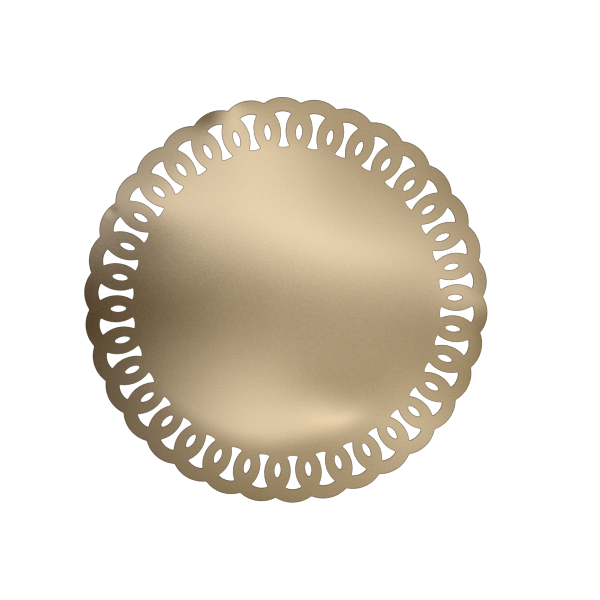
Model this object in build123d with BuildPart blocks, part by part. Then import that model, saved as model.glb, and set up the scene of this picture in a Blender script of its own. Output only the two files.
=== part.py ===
# Knock-down cake stand: a flat sheet-metal plate with a rim of interlocking rings, on a spun and
# turned pedestal that one long bolt and a wing nut hold together.
#
# Frame: millimetres, +Z up, origin on the table at the centre of the foot. A ring of the rim is
# centred on +X.

from build123d import *
import math
import os

os.makedirs("parts", exist_ok=True)

# ---------------------------------------------------------------- driving dimensions

plate_diameter = 300.0          # over the tips of the scallops
plate_thickness = 1.0
stand_height = 110.0            # table to the top of the plate

ring_count = 34
ring_outer_radius = 23.0        # outline of one ring of the rim
ring_hole_radius = 12.65        # inside of one ring, at its inner and outer ends
ring_hole_inset = 0.2           # the insides sit this much nearer the plate's centre
ring_side_radius = 21.75        # a ring's outside where it cuts across its neighbour's inside
valley_radius = 1.2             # rounding between two scallops
waisted_corner_radius = 0.45    # rounding in the corners of a waisted hole
almond_pitch_radius = 125.0     # plate's centre to the middle of an almond hole
almond_width = 4.4
almond_side_radius = 9.9
almond_corner_radius = 1.0      # rounding in the tips of an almond hole
disc_overlap = 0.2              # the solid middle stops this short of the holes
valley_reach = 149.0            # the valleys between scallops lie inside this radius

sheet = 1.0                     # spun sheet of the flare and the foot
bend_outside = 1.4              # outside radius of a sharp bend in the spun sheet
bend_inside = 0.4

pad_height = 2.0
pad_radius = 5.5
pad_count = 4
pad_edge_break = 0.4
foot_radius = 80.5
foot_height = 32.0              # flange to the land that closes the neck
foot_bead_radius = 2.5          # rolled edge of the foot
foot_flange_width = 12.0        # turned-in flange that the pads stick to
foot_step_height = 3.0          # small step between the trumpet and the flat border
foot_border_width = 8.0

neck_radius = 14.0              # outside of the spun necks
foot_neck_height = 4.0
flare_neck_height = 6.0
flare_hem_radius = 1.5          # rolled hem that carries the plate
flare_radius = 61.5

collar_height = 4.0
collar_land_radius = 15.0
collar_edge_break = 0.3
collar_bore_reach = 1.0         # only the bore's edges lie this near the tube
knop_height = 26.0
knop_end_radius = 13.0
knop_radius = 21.0
knop_groove_depth = 0.6         # fine turned groove round the knop's middle

tube_radius = 6.0
tube_bore_radius = 4.5
tube_short = 0.5                # the tube stops short, so the clamp bears on the foot
column_clearance = 0.1          # between the tube and the pieces it lines up

dish_sheet = 1.2
dish_radius = 52.0
dish_flange_width = 16.0
dish_floor_radius = 14.0
dish_depth = 6.0                # plate's underside to the dish's floor
square_hole = 6.6

bolt_radius = 3.0               # M6
bolt_length = 90.0
bolt_head_radius = 8.25
bolt_head_height = 3.5
bolt_head_edge = 0.7            # upright part of the head's rim
bolt_neck_rounding = 0.4
bolt_neck = 6.2                 # across the flats of the square neck
bolt_neck_height = 4.6
bolt_end_chamfer = 0.8

clamp_radius = 12.0
clamp_thickness = 2.0
clamp_hole_radius = 3.2
clamp_edge_break = 0.4
spring_washer_radius = 5.9
spring_washer_hole_radius = 3.1
spring_washer_thickness = 1.6
spring_washer_gap = 1.0
spring_washer_cut_angle = 25.0
spring_washer_cut_length = 7.8  # the cutter is longer than the ring is wide, and taller
spring_washer_cut_height = 6.4

nut_height = 8.0
nut_seat_radius = 6.0
nut_end_radius = 5.0
wing_thickness = 2.5
wing_root_radius = 2.6
wing_tip_radius = 3.8
wing_root_offset = 4.5          # from the axis to the centre of the wing's root circle
wing_tip_offset = 11.8
wing_root_drop = 4.2            # from the seat to the centre of the wing's root circle
wing_tip_drop = 11.0
wing_edge_rounding = 0.6

# ---------------------------------------------------------------- worked-out sizes

ring_pitch_radius = plate_diameter / 2 - ring_outer_radius
ring_hole_pitch_radius = ring_pitch_radius - ring_hole_inset
ring_step_angle = 360.0 / ring_count
solid_disc_radius = ring_hole_pitch_radius - ring_hole_radius - disc_overlap

plate_under = stand_height - plate_thickness
foot_top = pad_height + foot_height
knop_bottom = foot_top + collar_height
knop_top = knop_bottom + knop_height
flare_bottom = knop_top + collar_height
dish_floor = plate_under - dish_depth
column_bore_radius = tube_radius + column_clearance

clamp_top = foot_top - sheet
spring_washer_top = clamp_top - clamp_thickness
nut_seat = spring_washer_top - spring_washer_thickness


def corner(section, radius, height):
    """The corner of a section that lies nearest to a radius and a height."""
    return section.vertices().sort_by_distance((radius, height))[0]


# ---------------------------------------------------------------- plate

# A hole with a narrow waist: the inside of one ring, less what its two neighbours cover.
with BuildSketch() as waisted_hole:
    with Locations((ring_hole_pitch_radius, 0)):
        Circle(ring_hole_radius)
    for side in (-1, 1):
        with PolarLocations(ring_pitch_radius, 1, start_angle=side * ring_step_angle):
            Circle(ring_side_radius, mode=Mode.SUBTRACT)
    fillet(waisted_hole.vertices(), waisted_corner_radius)

# An almond hole, between two neighbouring waisted ones.
with BuildSketch() as almond_hole:
    almond_side_offset = almond_side_radius - almond_width / 2
    with Locations((almond_pitch_radius, -almond_side_offset)):
        Circle(almond_side_radius)
    with Locations((almond_pitch_radius, almond_side_offset)):
        Circle(almond_side_radius, mode=Mode.INTERSECT)
    fillet(almond_hole.vertices(), almond_corner_radius)

# The outline: the solid middle and the outsides of all the rings.
with BuildSketch(Plane.XY.offset(plate_under)) as plate_outline:
    Circle(solid_disc_radius)
    with PolarLocations(ring_pitch_radius, ring_count):
        Circle(ring_outer_radius)
    valleys = plate_outline.vertices().filter_by(
        lambda vertex: math.hypot(vertex.X, vertex.Y) < valley_reach
    )
    fillet(valleys, valley_radius)

with BuildPart() as top_plate:
    add(plate_outline.sketch)
    extrude(amount=plate_thickness)
    with BuildSketch(Plane.XY.offset(plate_under)):
        with PolarLocations(0, ring_count):
            add(waisted_hole.sketch)
        with PolarLocations(0, ring_count, start_angle=ring_step_angle / 2):
            add(almond_hole.sketch)
    extrude(amount=plate_thickness, mode=Mode.SUBTRACT)

top_plate.part.label = "top_plate"

# ---------------------------------------------------------------- dish welded under the plate

# A shallow pressed cone. Its flange is welded to the plate, and the head of the bolt is trapped
# between its floor and the plate.
with BuildPart() as bearer_dish:
    with BuildSketch(Plane.XZ):
        with BuildLine():
            Polyline(
                (0, dish_floor),
                (dish_floor_radius, dish_floor),
                (dish_radius - dish_flange_width, plate_under),
                (dish_radius, plate_under),
                (dish_radius, plate_under - dish_sheet),
                (dish_radius - dish_flange_width, plate_under - dish_sheet),
                (dish_floor_radius, dish_floor - dish_sheet),
                (0, dish_floor - dish_sheet),
                close=True,
            )
        make_face()
    revolve(axis=Axis.Z)
    with BuildSketch(Plane.XY.offset(dish_floor)):
        Rectangle(square_hole, square_hole)
    extrude(amount=-dish_sheet, mode=Mode.SUBTRACT)

bearer_dish.part.label = "bearer_dish"

# ---------------------------------------------------------------- coach bolt

with BuildPart() as tie_bolt:
    with BuildSketch(Plane.XZ):
        head_edge = dish_floor + bolt_head_edge
        head_top = dish_floor + bolt_head_height
        dome_rise = bolt_head_height - bolt_head_edge
        dome_radius = (bolt_head_radius**2 + dome_rise**2) / (2 * dome_rise)
        with BuildLine():
            RadiusArc((bolt_head_radius, head_edge), (0, head_top), -dome_radius)
            Polyline(
                (0, head_top),
                (0, dish_floor),
                (bolt_head_radius, dish_floor),
                (bolt_head_radius, head_edge),
            )
        make_face()
    revolve(axis=Axis.Z)
    with BuildSketch(Plane.XY.offset(dish_floor)):
        RectangleRounded(bolt_neck, bolt_neck, bolt_neck_rounding)
    extrude(amount=-bolt_neck_height)
    with BuildSketch(Plane.XY.offset(dish_floor - bolt_neck_height)):
        Circle(bolt_radius)
    extrude(amount=bolt_neck_height - bolt_length)
    chamfer(tie_bolt.edges().group_by(Axis.Z)[0], bolt_end_chamfer)

tie_bolt.part.label = "tie_bolt"

# ---------------------------------------------------------------- spacer tube

with BuildPart() as spacer_tube:
    with BuildSketch(Plane.XY.offset(clamp_top + tube_short)):
        Circle(tube_radius)
        Circle(tube_bore_radius, mode=Mode.SUBTRACT)
    extrude(amount=dish_floor - dish_sheet - clamp_top - tube_short)

spacer_tube.part.label = "spacer_tube"

# ---------------------------------------------------------------- flare under the plate

# A spun trumpet with a closed floor. The rolled hem at its wide end meets the plate.
with BuildPart() as upper_flare:
    with BuildSketch(Plane.XZ) as flare_section:
        hem_start = flare_radius - 2 * flare_hem_radius
        hem_bottom = plate_under - 2 * flare_hem_radius
        neck_top = flare_bottom + flare_neck_height
        with BuildLine():
            Polyline(
                (column_bore_radius, flare_bottom + sheet),
                (column_bore_radius, flare_bottom),
                (neck_radius, flare_bottom),
                (neck_radius, neck_top),
            )
            EllipticalCenterArc(
                (hem_start, neck_top),
                hem_start - neck_radius,
                hem_bottom - neck_top,
                start_angle=90,
                arc_size=90,
            )
            Line((hem_start, hem_bottom), (flare_radius - flare_hem_radius, hem_bottom))
            ThreePointArc(
                (flare_radius - flare_hem_radius, hem_bottom),
                (flare_radius, hem_bottom + flare_hem_radius),
                (flare_radius - flare_hem_radius, plate_under),
            )
            Polyline(
                (flare_radius - flare_hem_radius, plate_under),
                (hem_start, plate_under),
                (hem_start, hem_bottom + sheet),
            )
            EllipticalCenterArc(
                (hem_start, neck_top),
                hem_start - neck_radius + sheet,
                hem_bottom - neck_top + sheet,
                start_angle=90,
                arc_size=90,
            )
            Polyline(
                (neck_radius - sheet, neck_top),
                (neck_radius - sheet, flare_bottom + sheet),
                (column_bore_radius, flare_bottom + sheet),
            )
        make_face()
        fillet(corner(flare_section, neck_radius, flare_bottom), bend_outside)
        fillet(corner(flare_section, neck_radius - sheet, flare_bottom + sheet), bend_inside)
    revolve(axis=Axis.Z)

upper_flare.part.label = "upper_flare"

# ---------------------------------------------------------------- turned collars


def turned_collar(bottom):
    """A bead ring that stands at the given height, bored for the spacer tube."""
    middle = bottom + collar_height / 2
    with BuildPart() as collar:
        with BuildSketch(Plane.XZ):
            with BuildLine():
                Polyline(
                    (collar_land_radius, bottom + collar_height),
                    (column_bore_radius, bottom + collar_height),
                    (column_bore_radius, bottom),
                    (collar_land_radius, bottom),
                )
                ThreePointArc(
                    (collar_land_radius, bottom),
                    (collar_land_radius + collar_height / 2, middle),
                    (collar_land_radius, bottom + collar_height),
                )
            make_face()
        revolve(axis=Axis.Z)
        bore_edges = collar.edges().filter_by(
            lambda edge: edge.geom_type == GeomType.CIRCLE and edge.radius < tube_radius + collar_bore_reach
        )
        chamfer(bore_edges, collar_edge_break)
    return collar.part


lower_collar = turned_collar(foot_top)
lower_collar.label = "lower_collar"

upper_collar = turned_collar(knop_top)
upper_collar.label = "upper_collar"

# ---------------------------------------------------------------- turned knop

with BuildPart() as stem_knop:
    with BuildSketch(Plane.XZ):
        with BuildLine():
            ThreePointArc(
                (knop_end_radius, knop_bottom),
                (knop_radius, knop_bottom + knop_height / 2),
                (knop_end_radius, knop_top),
            )
            Polyline(
                (knop_end_radius, knop_top),
                (column_bore_radius, knop_top),
                (column_bore_radius, knop_bottom),
                (knop_end_radius, knop_bottom),
            )
        make_face()
        with Locations((knop_radius, knop_bottom + knop_height / 2)):
            Circle(knop_groove_depth, mode=Mode.SUBTRACT)
    revolve(axis=Axis.Z)

stem_knop.part.label = "stem_knop"

# ---------------------------------------------------------------- spun foot

# A trumpet that closes in a land at the top, steps down to a flat border, rolls round its edge
# and turns in to a flange underneath.
with BuildPart() as foot_shell:
    with BuildSketch(Plane.XZ) as foot_section:
        bead_axis = foot_radius - foot_bead_radius
        border_top = pad_height + 2 * foot_bead_radius
        step_radius = bead_axis - foot_border_width
        step_top = border_top + foot_step_height
        neck_bottom = foot_top - foot_neck_height
        flange_radius = bead_axis - foot_flange_width
        with BuildLine():
            Polyline(
                (column_bore_radius, foot_top - sheet),
                (column_bore_radius, foot_top),
                (neck_radius, foot_top),
                (neck_radius, neck_bottom),
            )
            EllipticalCenterArc(
                (step_radius, neck_bottom),
                step_radius - neck_radius,
                neck_bottom - step_top,
                start_angle=180,
                arc_size=90,
            )
            Polyline(
                (step_radius, step_top),
                (step_radius, border_top),
                (bead_axis, border_top),
            )
            ThreePointArc(
                (bead_axis, border_top),
                (foot_radius, pad_height + foot_bead_radius),
                (bead_axis, pad_height),
            )
            Polyline(
                (bead_axis, pad_height),
                (flange_radius, pad_height),
                (flange_radius, pad_height + sheet),
                (bead_axis, pad_height + sheet),
            )
            ThreePointArc(
                (bead_axis, pad_height + sheet),
                (foot_radius - sheet, pad_height + foot_bead_radius),
                (bead_axis, border_top - sheet),
            )
            Polyline(
                (bead_axis, border_top - sheet),
                (step_radius - sheet, border_top - sheet),
                (step_radius - sheet, step_top - sheet),
            )
            EllipticalCenterArc(
                (step_radius - sheet, neck_bottom),
                step_radius - neck_radius,
                neck_bottom - step_top + sheet,
                start_angle=180,
                arc_size=90,
            )
            Polyline(
                (neck_radius - sheet, neck_bottom),
                (neck_radius - sheet, foot_top - sheet),
                (column_bore_radius, foot_top - sheet),
            )
        make_face()
        fillet(corner(foot_section, neck_radius, foot_top), bend_outside)
        fillet(corner(foot_section, neck_radius - sheet, foot_top - sheet), bend_inside)
        fillet(corner(foot_section, step_radius, step_top), bend_outside)
        fillet(corner(foot_section, step_radius - sheet, step_top - sheet), bend_inside)
        fillet(corner(foot_section, step_radius, border_top), bend_inside)
        fillet(corner(foot_section, step_radius - sheet, border_top - sheet), bend_outside)
    revolve(axis=Axis.Z)

foot_shell.part.label = "foot_shell"

# ---------------------------------------------------------------- clamp inside the foot

with BuildPart() as clamp_washer:
    with BuildSketch(Plane.XY.offset(spring_washer_top)):
        Circle(clamp_radius)
        Circle(clamp_hole_radius, mode=Mode.SUBTRACT)
    extrude(amount=clamp_thickness)
    chamfer(clamp_washer.edges().group_by(Axis.Z)[0].sort_by(SortBy.RADIUS)[-1], clamp_edge_break)

clamp_washer.part.label = "clamp_washer"

# Split spring washer, squeezed flat. The cut slants across the ring.
with BuildPart() as spring_washer:
    with BuildSketch(Plane.XY.offset(nut_seat)):
        Circle(spring_washer_radius)
        Circle(spring_washer_hole_radius, mode=Mode.SUBTRACT)
    extrude(amount=spring_washer_thickness)
    cut_plane = Plane(
        origin=(spring_washer_radius, 0, nut_seat + spring_washer_thickness / 2),
        x_dir=(1, 0, 0),
        z_dir=(0, math.cos(math.radians(spring_washer_cut_angle)),
               math.sin(math.radians(spring_washer_cut_angle))),
    )
    with BuildSketch(cut_plane):
        Rectangle(spring_washer_cut_length, spring_washer_cut_height)
    extrude(amount=spring_washer_gap / 2, both=True, mode=Mode.SUBTRACT)

spring_washer.part.label = "spring_washer"

# ---------------------------------------------------------------- wing nut

with BuildPart() as wing_nut:
    for side in (-1, 1):
        with BuildSketch(Plane.XZ):
            with Locations((side * wing_root_offset, nut_seat - wing_root_drop)):
                Circle(wing_root_radius)
            with Locations((side * wing_tip_offset, nut_seat - wing_tip_drop)):
                Circle(wing_tip_radius)
            make_hull()
        extrude(amount=wing_thickness / 2, both=True)
    fillet(wing_nut.edges(), wing_edge_rounding)
    with BuildSketch(Plane.XZ):
        with BuildLine():
            Polyline(
                (0, nut_seat),
                (nut_seat_radius, nut_seat),
                (nut_end_radius, nut_seat - nut_height),
                (0, nut_seat - nut_height),
                close=True,
            )
        make_face()
    revolve(axis=Axis.Z)
    with BuildSketch(Plane.XY.offset(nut_seat)):
        Circle(bolt_radius)
    extrude(amount=-nut_height, mode=Mode.SUBTRACT)

wing_nut.part.label = "wing_nut"

# ---------------------------------------------------------------- pads

with BuildPart() as foot_pads:
    with BuildSketch():
        with PolarLocations(bead_axis - foot_flange_width / 2, pad_count, start_angle=45):
            Circle(pad_radius)
    extrude(amount=pad_height)
    chamfer(foot_pads.edges().group_by(Axis.Z)[0], pad_edge_break)

foot_pads.part.label = "foot_pads"

# ---------------------------------------------------------------- output

pieces = [
    top_plate.part,
    bearer_dish.part,
    tie_bolt.part,
    spacer_tube.part,
    upper_flare.part,
    upper_collar,
    stem_knop.part,
    lower_collar,
    foot_shell.part,
    clamp_washer.part,
    spring_washer.part,
    wing_nut.part,
    foot_pads.part,
]

for piece in pieces:
    export_step(piece, f"parts/{piece.label}.step")
    print(f"{piece.label:16s} {len(piece.solids())} solid(s) {piece.volume:10.1f} mm3")
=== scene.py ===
import math

import bpy
from mathutils import Matrix, Vector
from mathutils.geometry import delaunay_2d_cdt


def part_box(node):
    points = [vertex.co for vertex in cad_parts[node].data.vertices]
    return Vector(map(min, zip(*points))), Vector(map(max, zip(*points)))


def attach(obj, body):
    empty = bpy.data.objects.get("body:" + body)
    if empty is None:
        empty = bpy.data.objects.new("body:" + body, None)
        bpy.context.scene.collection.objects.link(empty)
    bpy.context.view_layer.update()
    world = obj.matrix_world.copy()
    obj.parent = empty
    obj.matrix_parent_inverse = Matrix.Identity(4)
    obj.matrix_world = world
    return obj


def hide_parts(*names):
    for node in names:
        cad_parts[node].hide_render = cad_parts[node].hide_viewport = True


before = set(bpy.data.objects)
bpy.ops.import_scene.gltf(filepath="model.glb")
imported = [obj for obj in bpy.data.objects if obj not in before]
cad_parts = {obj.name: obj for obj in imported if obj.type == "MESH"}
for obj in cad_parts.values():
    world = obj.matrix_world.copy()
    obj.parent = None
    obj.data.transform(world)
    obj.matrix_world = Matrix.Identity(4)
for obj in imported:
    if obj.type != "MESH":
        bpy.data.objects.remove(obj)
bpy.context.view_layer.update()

MM = 0.001
ROOT = "root"

# ------------------------------------------------------------------ sizes read from the frame

plate_low, plate_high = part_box("top_plate")
pads_low, pads_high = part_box("foot_pads")
bolt_low, bolt_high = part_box("tie_bolt")
split_low, split_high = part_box("spring_washer")

plate_top = plate_high.z
plate_under = plate_low.z
plate_radius = plate_high.x

# The rim's rings: 34 of them, 46 mm over their outlines, with waisted holes inside them and
# almond holes where they overlap.
RING_COUNT = 34
RING_STEP = 2 * math.pi / RING_COUNT
ring_outline = 23.0 * MM
ring_hole = 12.65 * MM
ring_side = 21.75 * MM
ring_pitch = plate_radius - ring_outline
hole_inset = 0.2 * MM            # the holes sit this much nearer the middle than the rings
hole_pitch = ring_pitch - hole_inset
almond_pitch = 125.0 * MM
almond_side = 9.9 * MM
almond_width = 4.4 * MM
valley_round = 1.2 * MM
waist_round = 0.45 * MM
almond_round = 1.0 * MM


# ------------------------------------------------------------------ camera

LENS = 63.95                    # mm
SENSOR_WIDTH = 36.0             # mm
FAR_CLIP = 20.0
CAMERA_DISTANCE = 0.788         # from the middle of the plate
CAMERA_TILT = math.radians(4.69)        # off the vertical
CAMERA_AZIMUTH = math.radians(133.7)    # the side of the plate that it leans over
CAMERA_ROLL = math.radians(3.66)
AIM_OFFSET = Vector((0.00853, 0.00285, 0.0))


def look_from(position, target, roll):
    """The matrix of a camera that looks at a target, its picture's top towards +Y, then rolled."""
    forward = (target - position).normalized()
    right = forward.cross(Vector((0, 1, 0))).normalized()
    up = right.cross(forward)
    turned_right = math.cos(roll) * right + math.sin(roll) * up
    turned_up = math.cos(roll) * up - math.sin(roll) * right
    basis = Matrix((turned_right, turned_up, -forward)).transposed().to_4x4()
    return Matrix.Translation(position) @ basis


plate_middle = Vector((0, 0, plate_top))
lean = Vector((math.cos(CAMERA_AZIMUTH), math.sin(CAMERA_AZIMUTH), 0))
camera_data = bpy.data.cameras.new("camera")
camera_data.lens = LENS
camera_data.sensor_width = SENSOR_WIDTH
camera_data.clip_end = FAR_CLIP
camera = bpy.data.objects.new("camera", camera_data)
bpy.context.scene.collection.objects.link(camera)
camera_place = plate_middle + CAMERA_DISTANCE * (
    math.sin(CAMERA_TILT) * lean + math.cos(CAMERA_TILT) * Vector((0, 0, 1))
)
camera.matrix_world = look_from(camera_place, plate_middle + AIM_OFFSET, CAMERA_ROLL)
bpy.context.scene.camera = camera


# ------------------------------------------------------------------ node helpers

NOISE_USUAL = (0.3, 0.7)        # most of a noise's values lie between these two
EDGE_POINTINESS = (0.52, 0.60)  # from where an edge begins to stand out to where it fully does
LINE_DETAIL = 3.0


class Graph:
    """A material and short ways to add its nodes."""

    def __init__(self, name):
        self.material = bpy.data.materials.new(name)
        self.material.use_nodes = True
        self.tree = self.material.node_tree
        self.tree.nodes.clear()
        self.output = self.tree.nodes.new("ShaderNodeOutputMaterial")
        self.shader = self.tree.nodes.new("ShaderNodeBsdfPrincipled")
        self.link(self.shader.outputs["BSDF"], self.output.inputs["Surface"])
        self.coordinates = self.tree.nodes.new("ShaderNodeTexCoord").outputs["Object"]

    def link(self, source, target):
        self.tree.links.new(source, target)

    def noise(self, size, detail=2.0, roughness=0.5, stretch=None):
        """Noise whose features are about size metres across."""
        node = self.tree.nodes.new("ShaderNodeTexNoise")
        node.inputs["Scale"].default_value = 1.0 / size
        node.inputs["Detail"].default_value = detail
        node.inputs["Roughness"].default_value = roughness
        vector = self.coordinates
        if stretch:
            mapping = self.tree.nodes.new("ShaderNodeMapping")
            mapping.inputs["Scale"].default_value = stretch
            self.link(vector, mapping.inputs["Vector"])
            vector = mapping.outputs["Vector"]
        self.link(vector, node.inputs["Vector"])
        return node.outputs["Fac"]

    def noise_along(self, value, size):
        """Noise that changes with one value only."""
        node = self.tree.nodes.new("ShaderNodeTexNoise")
        node.noise_dimensions = "1D"
        node.inputs["Scale"].default_value = 1.0 / size
        node.inputs["Detail"].default_value = LINE_DETAIL
        self.link(value, node.inputs["W"])
        return node.outputs["Fac"]

    def edges(self):
        """1 along edges that stand out, 0 elsewhere."""
        pointiness = self.tree.nodes.new("ShaderNodeNewGeometry").outputs["Pointiness"]
        return self.span(pointiness, 0.0, 1.0, *EDGE_POINTINESS)

    def math(self, operation, first, second=None):
        node = self.tree.nodes.new("ShaderNodeMath")
        node.operation = operation
        for socket, value in zip(node.inputs, (first, second)):
            if value is None:
                continue
            if isinstance(value, (int, float)):
                socket.default_value = value
            else:
                self.link(value, socket)
        return node.outputs[0]

    def span(self, value, low, high, start=0.0, end=1.0):
        """value from start..end moved to low..high."""
        node = self.tree.nodes.new("ShaderNodeMapRange")
        node.inputs["From Min"].default_value = start
        node.inputs["From Max"].default_value = end
        node.inputs["To Min"].default_value = low
        node.inputs["To Max"].default_value = high
        self.link(value, node.inputs["Value"])
        return node.outputs["Result"]

    def spread(self, noise, low, high):
        """A noise's usual values moved to low..high."""
        return self.span(noise, low, high, *NOISE_USUAL)

    def tone(self, fine, fine_swing, broad, broad_low, broad_high):
        """A fine noise that swings both ways round a broad one."""
        swing = self.spread(fine, -fine_swing, fine_swing)
        return self.math("ADD", swing, self.spread(broad, broad_low, broad_high))

    def blend(self, factor, first, second):
        """A colour between two colours."""
        node = self.tree.nodes.new("ShaderNodeMix")
        node.data_type = "RGBA"
        colours = [socket for socket in node.inputs if socket.type == "RGBA"]
        for socket, value in zip(colours, (first, second)):
            if isinstance(value, tuple):
                socket.default_value = (*value, 1.0)
            else:
                self.link(value, socket)
        self.link(factor, node.inputs["Factor"])
        return next(socket for socket in node.outputs if socket.type == "RGBA")

    def bump(self, height, distance, normal=None):
        """A normal bent by a height map that stands as high as the distance."""
        node = self.tree.nodes.new("ShaderNodeBump")
        node.inputs["Distance"].default_value = distance
        node.inputs["Strength"].default_value = 1.0
        self.link(height, node.inputs["Height"])
        if normal is not None:
            self.link(normal, node.inputs["Normal"])
        return node.outputs["Normal"]

    def radius(self):
        """Distance from the stand's axis, and height."""
        parts = self.tree.nodes.new("ShaderNodeSeparateXYZ")
        self.link(self.coordinates, parts.inputs[0])
        squares = [self.math("MULTIPLY", parts.outputs[i], parts.outputs[i]) for i in (0, 1)]
        return self.math("SQRT", self.math("ADD", *squares)), parts.outputs[2]

    def placed(self, centre, turn):
        """x and y in a frame that stands at a place and is turned about Z."""
        mapping = self.tree.nodes.new("ShaderNodeMapping")
        mapping.vector_type = "TEXTURE"
        mapping.inputs["Location"].default_value = (centre[0], centre[1], 0)
        mapping.inputs["Rotation"].default_value = (0, 0, turn)
        self.link(self.coordinates, mapping.inputs["Vector"])
        parts = self.tree.nodes.new("ShaderNodeSeparateXYZ")
        self.link(mapping.outputs["Vector"], parts.inputs[0])
        return parts.outputs[0], parts.outputs[1]

    def fade(self, value, edge, width):
        """1 below the edge and 0 above it, changing softly over the width on each side."""
        node = self.tree.nodes.new("ShaderNodeMapRange")
        node.interpolation_type = "SMOOTHSTEP"
        node.inputs["From Min"].default_value = edge - width
        node.inputs["From Max"].default_value = edge + width
        node.inputs["To Min"].default_value = 1.0
        node.inputs["To Max"].default_value = 0.0
        self.link(value, node.inputs["Value"])
        return node.outputs["Result"]

    def set(self, **sockets):
        """The shader's sockets, by their names with _ for a space."""
        for name, value in sockets.items():
            socket = self.shader.inputs[name.replace("_", " ")]
            if isinstance(value, (int, float, tuple)):
                socket.default_value = value
            else:
                self.link(value, socket)


# ------------------------------------------------------------------ materials

GOLD = (0.882, 0.678, 0.408)
GOLD_DEEP = (0.838, 0.641, 0.383)
GRAIN_SIZE = 1.5 * MM
GRAIN_HEIGHT = 0.010 * MM
FINE_GRAIN_SIZE = 0.35 * MM
FINE_GRAIN_HEIGHT = 0.004 * MM
CLOUD_SIZE = 28 * MM
CLOUD_SHADE = (0.2, 0.8)        # from the deep gold, 0, to the light one, 1
GRAIN_SHADE = 0.9               # how far the grain moves it
PLATE_GLOSS = (0.085, 0.100)    # roughness, from cloud to cloud
GRAIN_GLOSS = 0.015             # how far the grain moves it


def satin_gold_plate():
    """Satin champagne-gold finish on rolled sheet: an even sandy grain, faint clouds in the gloss."""
    g = Graph("satin_gold_plate")
    grain = g.noise(GRAIN_SIZE, detail=2.0, roughness=0.6)
    fine = g.noise(FINE_GRAIN_SIZE, detail=1.0)
    clouds = g.noise(CLOUD_SIZE, detail=2.0)
    normal = g.bump(fine, FINE_GRAIN_HEIGHT)
    g.set(
        Base_Color=g.blend(g.tone(grain, GRAIN_SHADE, clouds, *CLOUD_SHADE), GOLD_DEEP, GOLD),
        Metallic=1.0,
        Roughness=g.tone(grain, GRAIN_GLOSS, clouds, *PLATE_GLOSS),
        Normal=g.bump(grain, GRAIN_HEIGHT, normal=normal),
    )
    return g.material


# Painted shade: near-black colours for the cut edge, standing in for the dark line that its rounding shows.
PAINTED_SHADE_STEEL = (0.030, 0.026, 0.018)
PAINTED_SHADE_GOLD = (0.095, 0.080, 0.052)
EDGE_METALLIC = 0.6
STREAK_SIZE = 0.8 * MM
STREAK_STRETCH = (1.0, 1.0, 0.15)       # the shear draws its streaks down through the sheet
STREAK_DEPTH = 0.02 * MM
EDGE_GLOSS = (0.45, 0.60)


def cut_edge_painted_shade():
    """The sheet's sheared and rounded edge, where the finish is thin and the shear leaves streaks; its
    near-black colour is painted shade, the dark line that the rounded edge shows.
    """
    g = Graph("cut_edge_painted_shade")
    streaks = g.noise(STREAK_SIZE, detail=2.0, stretch=STREAK_STRETCH)
    g.set(
        # painted shade: the edge's near-black colours, streaked by the shear
        Base_Color=g.blend(streaks, PAINTED_SHADE_STEEL, PAINTED_SHADE_GOLD),
        Metallic=EDGE_METALLIC,
        Roughness=g.span(streaks, *EDGE_GLOSS),
        Normal=g.bump(streaks, STREAK_DEPTH),
    )
    return g.material


GROOVE_LEAN = 0.82              # the grooves follow height plus this share of the radius
PASS_GROOVES = 9                # grooves in one pass of the tool
SPUN_GRAIN_SIZE = 0.6 * MM
SPUN_GRAIN_HEIGHT = 0.004 * MM
SPUN_CLOUD_SIZE = 18 * MM
SPUN_CLOUD_SHADE = (0.1, 0.9)   # from the deep gold, 0, to the light one, 1
GROOVE_SHADE = 0.35             # how far the grooves move it
GROOVE_GLOSS = (-0.04, 0.05)    # how far the grooves, the grain and the passes move the roughness
SPUN_GRAIN_GLOSS = 0.02
PASS_GLOSS = (-0.05, 0.05)
PASS_USUAL = (0.35, 0.65)       # most of the passes' values lie between these two
RUB_STRENGTH = 0.55
RUB_SHARE = (0.2, 1.0)          # of that strength, from place to place
RUB_PLACES = (0.4, 0.6)         # the values of the clouds between which it changes
LATHE_ANISOTROPY = 0.55


def spun_gold(name, colour_light, colour_deep, gloss, groove_pitch, groove_depth):
    """Gold finish over metal turned or spun on a lathe: fine rings, rubbed paler on the edges."""
    g = Graph(name)
    radius, height = g.radius()
    along = g.math("ADD", g.math("MULTIPLY", radius, GROOVE_LEAN), height)
    lines = g.noise_along(along, groove_pitch)
    passes = g.noise_along(along, PASS_GROOVES * groove_pitch)
    grain = g.noise(SPUN_GRAIN_SIZE, detail=2.0)
    clouds = g.noise(SPUN_CLOUD_SIZE, detail=3.0)
    colour = g.blend(g.tone(lines, GROOVE_SHADE, clouds, *SPUN_CLOUD_SHADE), colour_deep, colour_light)
    rub = g.math("MULTIPLY", g.edges(), g.span(clouds, *RUB_SHARE, *RUB_PLACES))
    groove_gloss = [gloss + change for change in GROOVE_GLOSS]
    rough = g.tone(grain, SPUN_GRAIN_GLOSS, lines, *groove_gloss)
    normal = g.bump(lines, groove_depth)
    tangent = g.tree.nodes.new("ShaderNodeTangent")
    tangent.direction_type = "RADIAL"
    tangent.axis = "Z"
    g.set(
        Base_Color=g.blend(g.math("MULTIPLY", rub, RUB_STRENGTH), colour, WORN_GOLD),
        Metallic=1.0,
        Roughness=g.math("ADD", rough, g.span(passes, *PASS_GLOSS, *PASS_USUAL)),
        Normal=g.bump(grain, SPUN_GRAIN_HEIGHT, normal=normal),
        Anisotropic=LATHE_ANISOTROPY,
        Tangent=tangent.outputs["Tangent"],
    )
    return g.material


STAIN_SIZE = 9 * MM
STAIN_SHADE = (0.1, 0.9)        # from the dark colour, 0, to the light one, 1
MOTTLE_SHADE = 0.3              # how far the mottle moves it
MOTTLE_GLOSS = (-0.06, 0.10)    # and how far it moves the roughness


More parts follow.
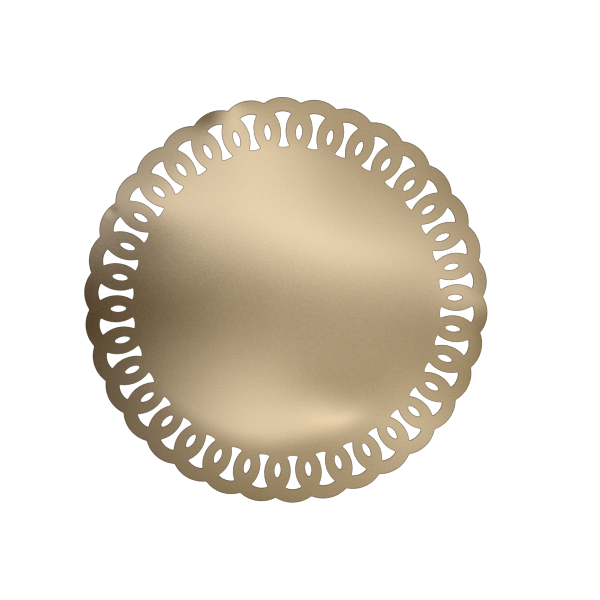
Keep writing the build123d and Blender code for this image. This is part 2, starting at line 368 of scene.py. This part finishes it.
def plain_steel(name, light, dark, gloss, grain_size, depth):
    """Drawn or plated steel with a mottled surface."""
    g = Graph(name)
    mottle = g.noise(grain_size, detail=4.0, roughness=0.65)
    stains = g.noise(STAIN_SIZE, detail=3.0)
    g.set(
        Base_Color=g.blend(g.tone(mottle, MOTTLE_SHADE, stains, *STAIN_SHADE), dark, light),
        Metallic=1.0,
        Roughness=g.spread(mottle, *[gloss + change for change in MOTTLE_GLOSS]),
        Normal=g.bump(mottle, depth),
    )
    return g.material


RUBBER_BLACK = (0.022, 0.022, 0.023)
RUBBER_DUST = (0.075, 0.072, 0.068)
RUBBER_SKIN_SIZE = 0.25 * MM
RUBBER_SKIN_DEPTH = 0.03 * MM
RUBBER_GLOSS = (0.62, 0.82)
DUST_SIZE = 3 * MM
DUSTY = (0.45, 0.75)            # the values of its noise where the dust begins and where it is whole


def pad_rubber():
    """Moulded non-slip rubber, faintly dusty."""
    g = Graph("pad_rubber")
    pores = g.noise(RUBBER_SKIN_SIZE, detail=3.0)
    dust = g.noise(DUST_SIZE, detail=4.0)
    g.set(
        Base_Color=g.blend(g.span(dust, 0.0, 1.0, *DUSTY), RUBBER_BLACK, RUBBER_DUST),
        Metallic=0.0,
        Roughness=g.spread(pores, *RUBBER_GLOSS),
        Normal=g.bump(pores, RUBBER_SKIN_DEPTH),
    )
    return g.material


WORN_GOLD = (0.90, 0.78, 0.58)
PALE_GOLD = (0.85, 0.70, 0.48)
PALE_GOLD_DEEP = (0.79, 0.64, 0.43)
BRASS = (0.81, 0.65, 0.42)
BRASS_DEEP = (0.72, 0.56, 0.34)
STEEL = (0.46, 0.45, 0.43)
STEEL_DARK = (0.30, 0.29, 0.28)
ZINC = (0.62, 0.64, 0.67)
ZINC_DARK = (0.42, 0.44, 0.48)

PLATE_GOLD = satin_gold_plate()
# the cut edge's material carries painted shade
EDGE_GOLD_PAINTED_SHADE = cut_edge_painted_shade()
SPUN_GOLD = spun_gold("satin_gold_spun", PALE_GOLD, PALE_GOLD_DEEP, 0.24, 0.55 * MM, 0.006 * MM)
TURNED_GOLD = spun_gold("turned_gold", BRASS, BRASS_DEEP, 0.18, 0.30 * MM, 0.004 * MM)
PRESSED_STEEL = plain_steel("pressed_steel", STEEL, STEEL_DARK, 0.42, 0.8 * MM, 0.02 * MM)
ZINC_STEEL = plain_steel("zinc_steel", ZINC, ZINC_DARK, 0.28, 0.6 * MM, 0.012 * MM)
RUBBER = pad_rubber()


# ------------------------------------------------------------------ mesh helpers


def new_piece(name, vertices, faces, materials, face_materials=None):
    """A mesh object in the frame's coordinates."""
    mesh = bpy.data.meshes.new(name)
    mesh.from_pydata(vertices, [], faces)
    for material in materials:
        mesh.materials.append(material)
    if face_materials:
        mesh.polygons.foreach_set("material_index", face_materials)
    mesh.polygons.foreach_set("use_smooth", [True] * len(mesh.polygons))
    mesh.update()
    piece = bpy.data.objects.new(name, mesh)
    bpy.context.scene.collection.objects.link(piece)
    return piece


def polar(radius, angle):
    return Vector((radius * math.cos(angle), radius * math.sin(angle)))


def arc_points(centre, radius, start, sweep, count):
    """count points from a start angle over a sweep, without the last one."""
    return [centre + polar(radius, start + sweep * i / count) for i in range(count)]


def heading(origin, target):
    offset = target - origin
    return math.atan2(offset.y, offset.x)


def turn_between(start, end, direction):
    """The sweep from one angle to another, the given way round."""
    sweep = (end - start) * direction % (2 * math.pi)
    return sweep * direction


# ------------------------------------------------------------------ plate

# Points on each arc of the outline and the holes.
SCALLOP_POINTS = 34
VALLEY_POINTS = 4
WAIST_CORNER_POINTS = 3
WAIST_SIDE_POINTS = 24
WAIST_END_POINTS = 12
ALMOND_TIP_POINTS = 4
ALMOND_SIDE_POINTS = 12


def outline_loop(inset):
    """The scalloped outline, drawn in by inset all round."""
    half = RING_STEP / 2
    reach = ring_outline + valley_round
    valley_distance = ring_pitch * math.cos(half) + math.sqrt(reach**2 - (ring_pitch * math.sin(half)) ** 2)
    points = []
    for k in range(RING_COUNT):
        angle = k * RING_STEP
        ring = polar(ring_pitch, angle)
        before = polar(valley_distance, angle - half)
        after = polar(valley_distance, angle + half)
        start = heading(ring, before)
        sweep = turn_between(start, heading(ring, after), 1)
        points += arc_points(ring, ring_outline - inset, start, sweep, SCALLOP_POINTS)
        start = heading(after, ring)
        sweep = turn_between(start, heading(after, polar(ring_pitch, angle + RING_STEP)), -1)
        points += arc_points(after, valley_round + inset, start, sweep, VALLEY_POINTS)
    return points


def circles_meet(first, first_radius, second, second_radius, side):
    """Where two circles meet, on the given side of the line between their centres."""
    apart = second - first
    distance = apart.length
    along = (first_radius**2 - second_radius**2 + distance**2) / (2 * distance)
    across = math.sqrt(first_radius**2 - along**2)
    direction = apart / distance
    return first + along * direction + side * across * Vector((-direction.y, direction.x))


def waisted_loop(k, inset):
    """The waisted hole inside ring k, widened by inset all round. It runs clockwise."""
    angle = k * RING_STEP
    ring = polar(hole_pitch, angle)
    sides = [polar(ring_pitch, angle + s * RING_STEP) for s in (1, -1)]
    corners = [
        (circles_meet(ring, ring_hole - waist_round, side_ring, ring_side + waist_round, side), side_ring)
        for side_ring in sides
        for side in (1, -1)
    ]
    points = []
    for i, (corner, side_ring) in enumerate(corners):
        following = corners[(i + 1) % len(corners)][0]
        if i % 2 == 0:
            start = heading(ring, corner)
            sweep = turn_between(start, heading(side_ring, corner) + math.pi, -1)
            points += arc_points(corner, waist_round + inset, start, sweep, WAIST_CORNER_POINTS)
            start = heading(side_ring, corner)
            sweep = turn_between(start, heading(side_ring, following), 1)
            points += arc_points(side_ring, ring_side - inset, start, sweep, WAIST_SIDE_POINTS)
        else:
            start = heading(side_ring, corner) + math.pi
            sweep = turn_between(start, heading(ring, corner), -1)
            points += arc_points(corner, waist_round + inset, start, sweep, WAIST_CORNER_POINTS)
            start = heading(ring, corner)
            sweep = turn_between(start, heading(ring, following), -1)
            points += arc_points(ring, ring_hole + inset, start, sweep, WAIST_END_POINTS)
    return points


def almond_sides(k):
    """The centres of the two arcs that bound the almond hole after ring k."""
    angle = (k + 0.5) * RING_STEP
    middle = polar(almond_pitch, angle)
    sideways = polar(almond_side - almond_width / 2, angle + math.pi / 2)
    return middle - sideways, middle + sideways


def almond_loop(k, inset):
    """The almond hole between rings k and k + 1, widened by inset all round. It runs clockwise."""
    first, second = almond_sides(k)
    reach = almond_side - almond_round
    tips = [circles_meet(first, reach, second, reach, side) for side in (1, -1)]
    points = []
    halves = ((tips[0], tips[1], second, first), (tips[1], tips[0], first, second))
    for tip, other, centre, next_centre in halves:
        start = heading(centre, tip)
        sweep = turn_between(start, heading(next_centre, tip), -1)
        points += arc_points(tip, almond_round + inset, start, sweep, ALMOND_TIP_POINTS)
        start = heading(next_centre, tip)
        sweep = turn_between(start, heading(next_centre, other), -1)
        points += arc_points(next_centre, almond_side + inset, start, sweep, ALMOND_SIDE_POINTS)
    return points


def rim_loops(inset):
    """The outline, then every hole. All the metal's edges are drawn back by inset."""
    loops = [outline_loop(inset)]
    loops += [waisted_loop(k, inset) for k in range(RING_COUNT)]
    loops += [almond_loop(k, inset) for k in range(RING_COUNT)]
    return loops


# The thin sheet isn't quite flat. Outside a circle that is a little off the middle its rim leans,
# more in some directions than in others, and handling has left shallow dents in it.
BEND_CENTRE = Vector((-14, 7)) * MM
BEND_START = 100 * MM
BEND_WIDTH = 21 * MM
RIM_SLOPE = -0.016
RIM_WAVES = (                   # waves round the plate, slope, direction of the wave
    (1, 0.015, math.radians(95)),
    (2, 0.020, math.radians(10)),
    (3, 0.007, math.radians(-120)),
)
DENTS = (                       # x, y, height and spread in mm
    (-60, 145, 1.1, 15),        # a pinch in the rim, up on one side
    (-70, 140, -0.9, 10),       # and down on the other
    (145, 0, 1.0, 20),          # the rim's +X end turned up
    (-105, 65, 0.5, 20),        # a low swell of the rim
    (55, 120, -1.2, 40),        # a broad hollow
    (40, -80, 1.2, 25),         # a broad rise of the middle
    (-133, 59, -0.08, 2.5),     # a small crease
)

# Nor is its outline quite round.
OVAL = 0.003
SWELL = 0.9 * MM
SWELL_ANGLE = math.radians(103)
SWELL_SPREAD = math.radians(14)
SWELL_START = 90 * MM
SWELL_WIDTH = 40 * MM


def spread_out(x, y):
    """Where a place of the true circle's pattern lies on this sheet."""
    radius = math.hypot(x, y)
    angle = math.atan2(y, x)
    share = min(max((radius - SWELL_START) / SWELL_WIDTH, 0.0), 1.0)
    push = SWELL * share * math.exp(-((angle - SWELL_ANGLE) ** 2) / (2 * SWELL_SPREAD**2))
    return x * (1 - OVAL) + push * math.cos(angle), y * (1 + OVAL) + push * math.sin(angle)


def warp(x, y):
    """How far the thin sheet stands off flat at a place, in metres."""
    from_bend = Vector((x, y)) - BEND_CENTRE
    beyond = from_bend.length - BEND_START
    height = 0.0
    if beyond > 0:
        angle = math.atan2(from_bend.y, from_bend.x)
        slope = RIM_SLOPE + sum(lean * math.cos(n * angle - turn) for n, lean, turn in RIM_WAVES)
        t = min(beyond / BEND_WIDTH, 1.0)
        height = slope * (BEND_WIDTH * (t**3 - t**4 / 2) + max(beyond - BEND_WIDTH, 0.0))
    for dent_x, dent_y, depth, spread in DENTS:
        square = (x / MM - dent_x) ** 2 + (y / MM - dent_y) ** 2
        height += depth * MM * math.exp(-square / (2 * spread**2))
    return height


SLOPE_STEP = 0.1 * MM


def tilt(x, y):
    """The warped sheet's slopes along x and y at a place."""
    step = SLOPE_STEP
    along_x = (warp(x + step, y) - warp(x - step, y)) / (2 * step)
    along_y = (warp(x, y + step) - warp(x, y - step)) / (2 * step)
    return along_x, along_y


def in_a_hole(p):
    """Whether a place is inside a waisted or an almond hole."""
    nearest = round(math.atan2(p.y, p.x) / RING_STEP)
    for k in (nearest - 1, nearest, nearest + 1):
        sides = [polar(ring_pitch, (k + s) * RING_STEP) for s in (1, -1)]
        in_ring = (p - polar(hole_pitch, k * RING_STEP)).length < ring_hole
        if in_ring and all((p - side).length > ring_side for side in sides):
            return True
        if all((p - side).length < almond_side for side in almond_sides(k)):
            return True
    return False


KEEP_OFF = 0.62                 # the least distance to a loop, as a share of the spacing


def fill_points(loops, spacing):
    """An even field of points on the metal that keeps off the loops."""
    taken = {}
    for loop in loops:
        for p in loop:
            taken.setdefault((round(p.x / spacing), round(p.y / spacing)), []).append(p)
    points = []
    row_step = spacing * math.sqrt(3) / 2
    rows = int(plate_radius / row_step) + 1
    columns = int(plate_radius / spacing) + 1
    for j in range(-rows, rows + 1):
        for i in range(-columns, columns + 1):
            p = Vector(((i + 0.5 * (j % 2)) * spacing, j * row_step))
            if p.length > plate_radius or in_a_hole(p):
                continue
            home = (round(p.x / spacing), round(p.y / spacing))
            near = [
                q
                for a in (-1, 0, 1)
                for b in (-1, 0, 1)
                for q in taken.get((home[0] + a, home[1] + b), ())
            ]
            if all((p - q).length > KEEP_OFF * spacing for q in near):
                points.append(p)
    return points


EDGE_ROUND = 0.46 * MM          # height of the rounding, of a sheet 1 mm thick
OUTLINE_REACH = 0.60 * MM       # how far it reaches in over the sheet from the outline
HOLE_REACH = 0.48 * MM          # and from a hole
EDGE_STEPS = 3
FILL_SPACING = 2.4 * MM
INSIDE_OUTLINE = 1              # the kind of net that stops at the outer loop
SAME_PLACE = 1e-9
SHEET_FACE, EDGE_FACE = 0, 1    # the plate's material slots


def build_plate():
    """The sheet, filled with an even net of triangles so that it can be warped, its edges rounded."""
    turns = [math.pi / 2 * i / EDGE_STEPS for i in range(EDGE_STEPS + 1)]
    top_loops = rim_loops(OUTLINE_REACH)[:1] + rim_loops(HOLE_REACH)[1:]
    flat = [p for loop in top_loops for p in loop]
    tips = [p for loop in rim_loops(0.0) for p in loop]
    outwards = [(tip - p).normalized() for tip, p in zip(tips, flat)]
    rim_edges = []
    loop_of = []
    for index, loop in enumerate(top_loops):
        start = len(loop_of)
        rim_edges += [(start + i, start + (i + 1) % len(loop)) for i in range(len(loop))]
        loop_of += [index] * len(loop)
    rim_size = len(flat)
    reaches = [HOLE_REACH if loop else OUTLINE_REACH for loop in loop_of]
    inside = fill_points(top_loops, FILL_SPACING)
    net = delaunay_2d_cdt(flat + inside, rim_edges, [], INSIDE_OUTLINE, SAME_PLACE)
    net_points, net_faces, origins = net[0], net[2], net[3]

    # The edge's rings join the net one to one, so each rim point's number in the net is kept.
    # A triangle with all its corners on one hole's loop fills that hole, and is left out.
    number = {old: new for new, olds in enumerate(origins) for old in olds}
    hole_of = {number[i]: loop_of[i] for i in range(rim_size) if loop_of[i] > 0}
    net_faces = [
        face for face in net_faces
        if hole_of.get(face[0]) is None or len({hole_of.get(i) for i in face}) > 1
    ]
    used = sorted({i for face in net_faces for i in face})

    vertices, normals, faces, kinds = [], [], [], []

    def add_vertex(place, z, up, outward=Vector((0, 0))):
        """up and outward are the parts of the surface's normal square to the sheet and along it."""
        slope_x, slope_y = tilt(place.x, place.y)
        vertices.append((*spread_out(place.x, place.y), z + warp(place.x, place.y)))
        normal = Vector((outward.x - up * slope_x, outward.y - up * slope_y, up))
        normals.append(tuple(normal.normalized()))
        return len(vertices) - 1

    top_ids = {i: add_vertex(net_points[i], plate_top, 1.0) for i in used}
    under_ids = {i: add_vertex(net_points[i], plate_under, -1.0) for i in used}
    for face in net_faces:
        faces.append(tuple(top_ids[i] for i in face))
        faces.append(tuple(under_ids[i] for i in reversed(face)))
        kinds += [SHEET_FACE, SHEET_FACE]

    rings = [[top_ids[number[i]] for i in range(rim_size)]]
    levels = [(a, plate_top - EDGE_ROUND, 1.0) for a in turns[1:]]
    levels += [(a, plate_under + EDGE_ROUND, -1.0) for a in reversed(turns[1:])]
    for a, middle, side in levels:
        ring = []
        for p, outward, reach in zip(flat, outwards, reaches):
            place = p + reach * math.sin(a) * outward
            height = middle + side * EDGE_ROUND * math.cos(a)
            lean_out = math.sin(a) / reach * EDGE_ROUND
            ring.append(add_vertex(place, height, side * math.cos(a), lean_out * outward))
        rings.append(ring)
    rings.append([under_ids[number[i]] for i in range(rim_size)])
    for upper, lower in zip(rings, rings[1:]):
        for a, b in rim_edges:
            faces.append((upper[a], lower[a], lower[b], upper[b]))
            kinds.append(EDGE_FACE)

    plate = new_piece("plate_sheet", vertices, faces, [PLATE_GOLD, EDGE_GOLD_PAINTED_SHADE], kinds)
    plate.data.normals_split_custom_set_from_vertices(normals)
    return plate


plate_sheet = build_plate()
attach(plate_sheet, ROOT)
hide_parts("top_plate")


# ------------------------------------------------------------------ turned and threaded pieces

SHARP_ANGLE = math.radians(35)


def skin(name, rows, material):
    """A closed surface through rows of points, each a closed ring, capped at both ends."""
    sides = len(rows[0])
    vertices = [point for row in rows for point in row]
    faces = []
    for lower in range(0, len(vertices) - sides, sides):
        for i in range(sides):
            j = (i + 1) % sides
            faces.append((lower + i, lower + j, lower + sides + j, lower + sides + i))
    for row, ring in ((rows[0], 0), (rows[-1], len(vertices) - sides)):
        middle = sum((Vector(point) for point in row), Vector()) / sides
        vertices.append(tuple(middle))
        for i in range(sides):
            edge = (ring + (i + 1) % sides, ring + i)
            faces.append((*(edge if ring == 0 else reversed(edge)), len(vertices) - 1))
    piece = new_piece(name, vertices, faces, [material])
    piece.data.set_sharp_from_angle(angle=SHARP_ANGLE)
    return piece


def ring_row(shape, height, sides, centre=(0.0, 0.0)):
    """One row of points round a centre; shape gives the radius at each angle."""
    row = []
    for i in range(sides):
        angle = 2 * math.pi * i / sides
        x = centre[0] + shape(angle) * math.cos(angle)
        y = centre[1] + shape(angle) * math.sin(angle)
        row.append((x, y, height))
    return row


def round_row(radius, height, sides, centre=(0.0, 0.0)):
    return ring_row(lambda angle: radius, height, sides, centre)


BOLT_SIDES = 64
HEAD_EDGE = 0.7 * MM            # upright part of the head's rim
HEAD_HEIGHT = 3.5 * MM
HEAD_ROUND = 0.25 * MM
HEAD_ROWS = 14                  # rows of points over the dome
DOME_REACH = 0.97               # the dome's last row, as a share of the head's radius
NECK_HALF = 3.1 * MM            # half across the flats of the square neck
NECK_CORNER = 0.4 * MM
NECK_HEIGHT = 4.6 * MM
NECK_CHAMFER = 0.3 * MM
SHANK_RADIUS = 2.97 * MM
THREAD_ROOT = 2.42 * MM
THREAD_PITCH = 1.0 * MM
THREAD_LENGTH = 32 * MM
THREAD_ROWS = 8                 # rows of points in one turn
THREAD_TOP = 1.35               # the flanks' height over the root in the middle of a turn, in depths
THREAD_FLANK = 3.375            # how fast the flanks fall, in depths per turn
RUN_OUT = 2.5 * MM
END_CHAMFER = 0.8 * MM


def square_shape(angle):
    """The radius of the square neck at an angle, with its corners rounded."""
    folded = abs((angle + math.pi / 4) % (math.pi / 2) - math.pi / 4)
    flat = NECK_HALF / math.cos(folded)
    inner = NECK_HALF - NECK_CORNER
    along = inner * (math.cos(folded) + math.sin(folded))
    rounded = along + math.sqrt(max(along**2 - 2 * inner**2 + NECK_CORNER**2, 0.0))
    return rounded if flat * math.sin(folded) > inner else flat


def chamfered_square(angle):
    """The square neck at its lower end, where its corners are cut back."""
    radius = square_shape(angle)
    return radius - NECK_CHAMFER if radius > SHANK_RADIUS + NECK_CHAMFER else radius


def thread_shape(height, end):
    """The radius of the thread at a height, for each angle."""
    above_end = height - end
    chamfer = THREAD_ROOT - END_CHAMFER / 2 + above_end
    run = min(max((THREAD_LENGTH - above_end) / RUN_OUT, 0.0), 1.0)

    def shape(angle):
        turn = (height / THREAD_PITCH - angle / (2 * math.pi)) % 1.0
        crest = min(max(THREAD_TOP - THREAD_FLANK * abs(turn - 0.5), 0.0), 1.0)
        radius = SHANK_RADIUS - (SHANK_RADIUS - THREAD_ROOT) * (1 - crest) * run
        return min(radius, chamfer)

    return shape


def build_bolt():
    """A coach bolt: domed head, square neck, plain shank, rolled thread with a chamfered end."""
    head_radius = bolt_high.x
    seat = bolt_high.z - HEAD_HEIGHT
    dome_foot = seat + HEAD_EDGE
    rise = HEAD_HEIGHT - HEAD_EDGE
    dome_radius = (head_radius**2 + rise**2) / (2 * rise)
    rows = []
    for i in range(1, HEAD_ROWS + 1):
        radius = head_radius * (i / HEAD_ROWS if i < HEAD_ROWS else DOME_REACH)
        height = bolt_high.z - dome_radius + math.sqrt(dome_radius**2 - radius**2)
        rows.append(round_row(radius, height, BOLT_SIDES))
    rows.append(round_row(head_radius, dome_foot - HEAD_ROUND, BOLT_SIDES))
    for turn in (0, math.pi / 4, math.pi / 2):
        radius = head_radius - HEAD_ROUND * (1 - math.cos(turn))
        height = seat + HEAD_ROUND * (1 - math.sin(turn))
        rows.append(round_row(radius, height, BOLT_SIDES))
    neck_bottom = seat - NECK_HEIGHT
    rows.append(ring_row(square_shape, seat, BOLT_SIDES))
    rows.append(ring_row(square_shape, neck_bottom + NECK_CHAMFER, BOLT_SIDES))
    rows.append(ring_row(chamfered_square, neck_bottom, BOLT_SIDES))
    rows.append(round_row(SHANK_RADIUS, neck_bottom, BOLT_SIDES))
    end = bolt_low.z
    count = round(THREAD_LENGTH / THREAD_PITCH * THREAD_ROWS)
    for i in range(count, -1, -1):
        height = end + THREAD_LENGTH * i / count
        rows.append(ring_row(thread_shape(height, end), height, BOLT_SIDES))
    return skin("coach_bolt", rows, ZINC_STEEL)


coach_bolt = build_bolt()
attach(coach_bolt, ROOT)
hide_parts("tie_bolt")


WASHER_SWEEP = math.radians(352)        # of ring between the two cut ends
WASHER_BORE = 3.1 * MM
WASHER_HALF_RISE = 0.12 * MM    # the squeezed ring still climbs a little
WASHER_BREAK = 0.18 * MM
WASHER_SLANT = math.radians(5)  # of the cut, from the bar's middle to its top
WASHER_STEPS = 96


def build_spring_washer():
    """A split spring washer: a square bar bent into one squeezed turn, its cut slanting."""
    inner, outer = WASHER_BORE, split_high.x
    low, high = split_low.z + WASHER_HALF_RISE, split_high.z - WASHER_HALF_RISE
    middle, half_bar = (low + high) / 2, (split_high.z - split_low.z) / 2
    b = WASHER_BREAK
    section = (
        (inner + b, low), (outer - b, low), (outer, low + b), (outer, high - b),
        (outer - b, high), (inner + b, high), (inner, high - b), (inner, low + b),
    )
    rows = []
    for i in range(WASHER_STEPS + 1):
        share = i / WASHER_STEPS - 0.5
        row = []
        for radius, height in section:
            slant = WASHER_SLANT * (height - middle) / half_bar
            place = polar(radius, WASHER_SWEEP * share + math.pi - slant)
            row.append((place.x, place.y, height + 2 * WASHER_HALF_RISE * share))
        rows.append(row)
    return skin("split_washer", rows, ZINC_STEEL)


split_washer = build_spring_washer()
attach(split_washer, ROOT)
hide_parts("spring_washer")

PAD_RADIUS = 5.5 * MM
PAD_SIDES = 40
PAD_TOP_BREAK = 0.15 * MM
PAD_ROUND = 0.5 * MM
PAD_ROUND_STEPS = 5
PAD_GROOVES = ((2.0 * MM, 0.35 * MM), (3.8 * MM, 0.35 * MM))    # radius and depth
PAD_GROOVE_HALF = 0.35 * MM
GROOVE_FLOOR = 0.6              # width of a groove's floor, as a share of its mouth
PAD_MIDDLE = 0.3 * MM           # radius of the sole's last row


def build_pad(number, centre):
    """A moulded rubber pad with a rounded rim and ring grooves in its sole."""
    top, bottom = pads_high.z, pads_low.z
    profile = [(PAD_RADIUS - PAD_TOP_BREAK, top), (PAD_RADIUS, top - PAD_TOP_BREAK)]
    for i in range(PAD_ROUND_STEPS + 1):
        turn = math.pi / 2 * i / PAD_ROUND_STEPS
        radius = PAD_RADIUS - PAD_ROUND * (1 - math.cos(turn))
        profile.append((radius, bottom + PAD_ROUND * (1 - math.sin(turn))))
    for radius, depth in reversed(PAD_GROOVES):
        profile.append((radius + PAD_GROOVE_HALF, bottom))
        profile.append((radius + GROOVE_FLOOR * PAD_GROOVE_HALF, bottom + depth))
        profile.append((radius - GROOVE_FLOOR * PAD_GROOVE_HALF, bottom + depth))
        profile.append((radius - PAD_GROOVE_HALF, bottom))
    profile.append((PAD_MIDDLE, bottom))
    rows = [round_row(radius, height, PAD_SIDES, centre) for radius, height in profile]
    return skin(f"rubber_pad_{number}", rows, RUBBER)


pad_offset = pads_high.x - PAD_RADIUS
for number, (side_x, side_y) in enumerate(((1, 1), (-1, 1), (-1, -1), (1, -1)), start=1):
    pad = build_pad(number, (side_x * pad_offset, side_y * pad_offset))
    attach(pad, ROOT)
    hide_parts("foot_pads")


# ------------------------------------------------------------------ CAD nodes that keep their shape

NODE_MATERIALS = {
    "upper_flare": SPUN_GOLD,
    "foot_shell": SPUN_GOLD,
    "upper_collar": TURNED_GOLD,
    "stem_knop": TURNED_GOLD,
    "lower_collar": TURNED_GOLD,
    "bearer_dish": PRESSED_STEEL,
    "spacer_tube": PRESSED_STEEL,
    "clamp_washer": ZINC_STEEL,
    "wing_nut": ZINC_STEEL,
}

for node_name, material in NODE_MATERIALS.items():
    for material_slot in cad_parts[node_name].material_slots:
        material_slot.material = material


# ------------------------------------------------------------------ studio

ROOM_RADIUS = 2.4
FLOOR_FLAT = 1.6                # where the floor starts to curve up into the wall
CEILING = plate_top + 2.0
SWEEP_STEPS = 12
ROOM_SEGMENTS = 96


def lathe(name, profile, material):
    """An open surface turned about the Z axis from (radius, height) points that start on the axis."""
    vertices = [(0, 0, profile[0][1])]
    faces = []
    for radius, height in profile[1:]:
        for i in range(ROOM_SEGMENTS):
            p = polar(radius, 2 * math.pi * i / ROOM_SEGMENTS)
            vertices.append((p.x, p.y, height))
    for i in range(ROOM_SEGMENTS):
        j = (i + 1) % ROOM_SEGMENTS
        faces.append((0, 1 + i, 1 + j))
        for ring in range(len(profile) - 2):
            low = 1 + ring * ROOM_SEGMENTS
            faces.append((low + i, low + ROOM_SEGMENTS + i, low + ROOM_SEGMENTS + j, low + j))
    return new_piece(name, vertices, faces, [material])


PAPER_WHITE = ((0.84, 0.84, 0.84), (0.88, 0.88, 0.88))
PAPER_CLOUDS = 0.4
WHITE_FLOOR = 0.40              # the well lit part of the floor
FLOOR_SOFTNESS = 0.45
FLOOR_GLOW = 0.88
SHADE_EDGE = 0.100              # where the floor under the stand is shaded
SHADE_SOFTNESS = 0.022
SHADE = 0.12
WALL_GLOW = 0.24
WALL_GREY = (0.66, 0.65, 0.64)
WALL_LIGHTS = (20, 145, 262)    # azimuths in degrees
WALL_LIGHT = 1.1
WALL_LIGHT_START = 0.3          # softness of its change from floor to wall
WALL_LIGHT_HALF = (0.15, 0.35)  # half its width, and the softness of its sides
WALL_LIGHT_TOP = (1.2, 0.5)     # its height, and the softness of its top


def studio_paper():
    """Matt background paper: white and brightly lit round the object, dimmer on the walls, with
    soft tall lights on them, and shaded under the stand."""
    g = Graph("studio_paper")
    radius, height = g.radius()
    middle = g.fade(radius, WHITE_FLOOR + FLOOR_SOFTNESS, FLOOR_SOFTNESS)
    under = g.fade(radius, SHADE_EDGE, SHADE_SOFTNESS)
    glow = g.math("MULTIPLY", g.span(middle, WALL_GLOW, FLOOR_GLOW), g.span(under, 1.0, SHADE))
    for azimuth in WALL_LIGHTS:
        along, across = g.placed((0, 0), math.radians(azimuth))
        side = g.math("SUBTRACT", 1.0, g.fade(along, FLOOR_FLAT, WALL_LIGHT_START))
        patch = g.math("MULTIPLY", side, g.fade(g.math("ABSOLUTE", across), *WALL_LIGHT_HALF))
        patch = g.math("MULTIPLY", patch, g.fade(height, *WALL_LIGHT_TOP))
        glow = g.math("ADD", glow, g.math("MULTIPLY", patch, WALL_LIGHT))
    g.set(
        Base_Color=g.blend(middle, WALL_GREY, g.blend(g.noise(PAPER_CLOUDS), *PAPER_WHITE)),
        Roughness=0.9,
        Specular_IOR_Level=0.1,
        Emission_Color=(1.0, 1.0, 1.0, 1.0),
        Emission_Strength=glow,
    )
    return g.material


CEILING_GREY = (0.136, 0.102, 0.010)
SILK_WHITE = (0.95, 1.00, 1.115)
FLAG_BLACK = (0.0, 0.0, 0.09)
SOFT_PANELS = (                 # centre, half size, width of the soft edges, turn, radiance; metres
    ((0.01, 0.29), (0.11, 0.19), (0.65, 0.20, 0.20), 0.0, 1.43),
    ((-0.06, 0.12), (0.69, 0.11), (0.48, 0.21, 0.21), math.radians(-10), 1.19),
    ((0.20, -0.48), (0.39, 0.11), (0.28, 0.44, 0.59), math.radians(-10), 1.55),
)
FLAG_EDGE = -0.48
FLAG_SOFTNESS = 0.72


def studio_ceiling():
    """A dim ceiling with three soft white panels, which goes black towards -X. It only glows."""
    g = Graph("studio_ceiling")
    light = CEILING_GREY
    for centre, half, soft, turn, radiance in SOFT_PANELS:
        along, across = g.placed(centre, turn)
        upper = g.fade(across, half[1], soft[1])
        lower = g.fade(g.math("MULTIPLY", across, -1.0), half[1], soft[2])
        ends = g.fade(g.math("ABSOLUTE", along), half[0], soft[0])
        mask = g.math("MULTIPLY", ends, g.math("MINIMUM", upper, lower))
        light = g.blend(mask, light, tuple(radiance * part for part in SILK_WHITE))
    sideways = g.placed((0, 0), 0.0)[0]
    light = g.blend(g.fade(sideways, FLAG_EDGE, FLAG_SOFTNESS), light, FLAG_BLACK)
    g.set(
        Base_Color=(0.0, 0.0, 0.0, 1.0),
        Specular_IOR_Level=0.0,
        Emission_Color=light,
        Emission_Strength=1.0,
    )
    return g.material


def room_profile():
    """The floor, a quarter round up from it and the wall, as (radius, height) points."""
    bend = ROOM_RADIUS - FLOOR_FLAT
    profile = [(0, 0)]
    for i in range(SWEEP_STEPS + 1):
        turn = math.pi / 2 * i / SWEEP_STEPS
        profile.append((ROOM_RADIUS - bend * (1 - math.sin(turn)), bend * (1 - math.cos(turn))))
    profile.append((ROOM_RADIUS, CEILING))
    return profile


studio = lathe("studio_sweep", room_profile(), studio_paper())
ceiling = lathe("studio_ceiling", [(0, CEILING), (ROOM_RADIUS, CEILING)], studio_ceiling())

WORLD_GREY = (0.30, 0.29, 0.27, 1.0)
world = bpy.data.worlds.new("studio_world")
world.use_nodes = True
world.node_tree.nodes["Background"].inputs["Color"].default_value = WORLD_GREY
bpy.context.scene.world = world
bpy.context.scene.view_settings.view_transform = "Standard"
